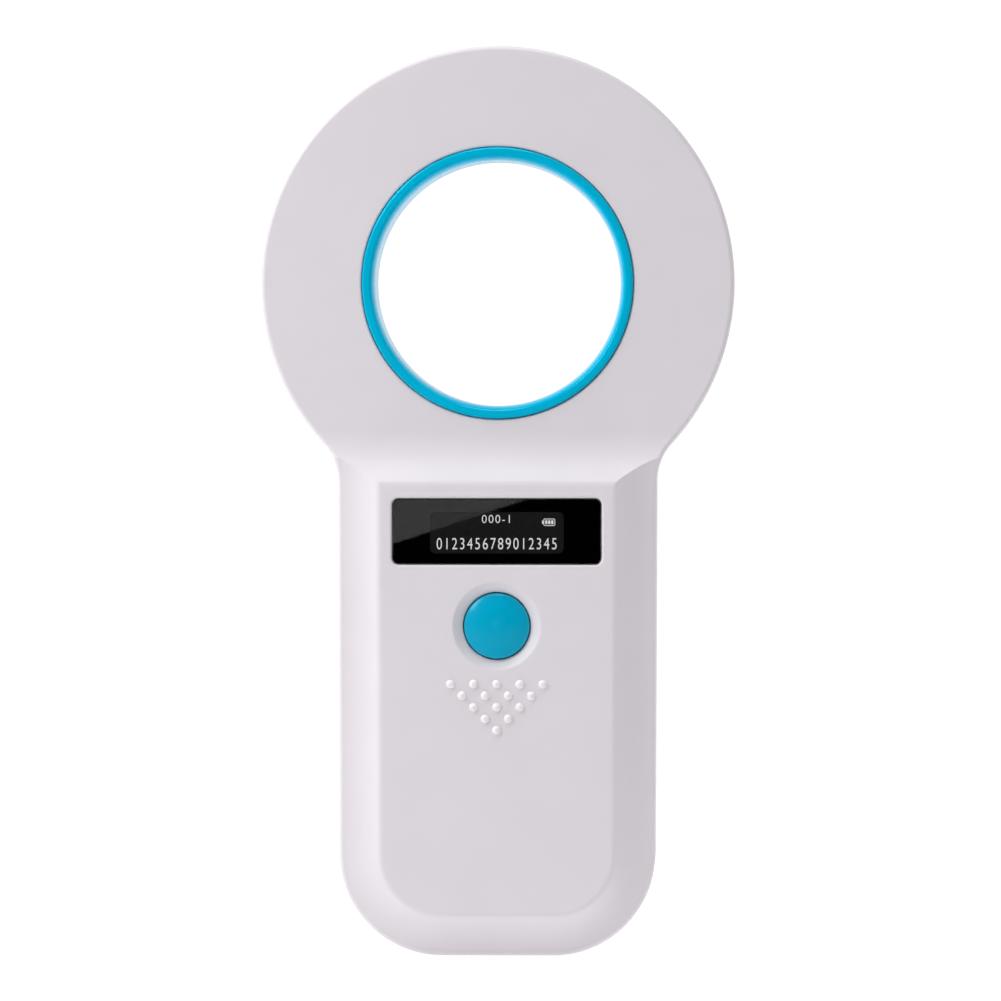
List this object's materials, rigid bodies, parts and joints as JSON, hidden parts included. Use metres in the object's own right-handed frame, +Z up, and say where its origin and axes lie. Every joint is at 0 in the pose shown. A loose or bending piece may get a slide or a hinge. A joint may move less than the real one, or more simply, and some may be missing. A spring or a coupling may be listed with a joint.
{
  "type": "handheld microchip scanner",
  "caption": "Handheld pet microchip reader: round antenna head with a through hole, flat handle, small display and a sprung scan button.",
  "frame": {"origin": "middle of the body's box at the level of the flat bottom end that it stands on", "axes": "+Z up along the handle to the head, +X to the user's right, -Y out of the face with the display and button, +Y out of the back"},
  "size_m": [0.086, 0.0282, 0.165],
  "materials": {
    "shell": "fine matte moulded ABS",
    "trim": "satin blue ABS",
    "lens": "glossy black acrylic with a clear window",
    "gasket": "black adhesive foam",
    "oled": "dark display glass",
    "flex": "amber polyimide",
    "board": "green solder mask",
    "chip": "black moulding compound",
    "steel": "plated steel",
    "copper": "enamelled copper wire",
    "tape": "amber tape",
    "cell": "laminated foil pouch",
    "foam": "white foam tape",
    "connector": "natural nylon",
    "wire_red": "red insulation",
    "wire_black": "black insulation",
    "film": "dipped film capacitor",
    "label": "blank satin label"
  },
  "bodies": {
    "root": {"front_housing": "shell", "rear_housing": "shell", "ring_trim": "trim", "rear_label": "label", "display_lens": "lens", "lens_gasket": "gasket", "oled_panel": "oled", "oled_foam": "foam", "oled_flex": "flex", "oled_connector": "connector", "switch_base": "chip", "switch_cover": "steel", "main_board": "board", "mcu_chip": "chip", "memory_chip": "chip", "reader_chip": "chip", "charger_chip": "chip", "crystal": "steel", "inductor": "chip", "tuning_capacitor_1": "film", "tuning_capacitor_2": "film", "supply_capacitor": "cell", "buzzer": "chip", "usb_shell": "steel", "usb_tongue": "chip", "battery_cell": "cell", "battery_guard_board": "board", "battery_pad": "foam", "battery_lead_red": "wire_red", "battery_lead_black": "wire_black", "battery_socket": "connector", "battery_plug": "connector", "antenna_coil": "copper", "coil_tape_1": "tape", "coil_tape_2": "tape", "coil_tape_3": "tape", "coil_tape_4": "tape", "coil_lead_start": "copper", "coil_lead_end": "copper", "housing_screw_1": "steel", "housing_screw_2": "steel", "housing_screw_3": "steel", "housing_screw_4": "steel", "housing_screw_5": "steel", "housing_screw_6": "steel", "board_screw_1": "steel", "board_screw_2": "steel", "board_screw_3": "steel", "board_screw_4": "steel"},
    "button": {"scan_button": "trim"},
    "plunger": {"switch_plunger": "chip"}
  },
  "joints": [
    {"name": "button_press", "type": "slide", "parent": "root", "child": "button", "axis": [0, 1, 0], "range_m": [0, 0.0006], "stiffness_N_per_m": 3000},
    {"name": "plunger_press", "type": "slide", "parent": "root", "child": "plunger", "axis": [0, 1, 0], "range_m": [0, 0.00027]}
  ],
  "couplings": [
    {"joint": "plunger_press", "follows": "button_press", "ratio": 0.45}
  ]
}
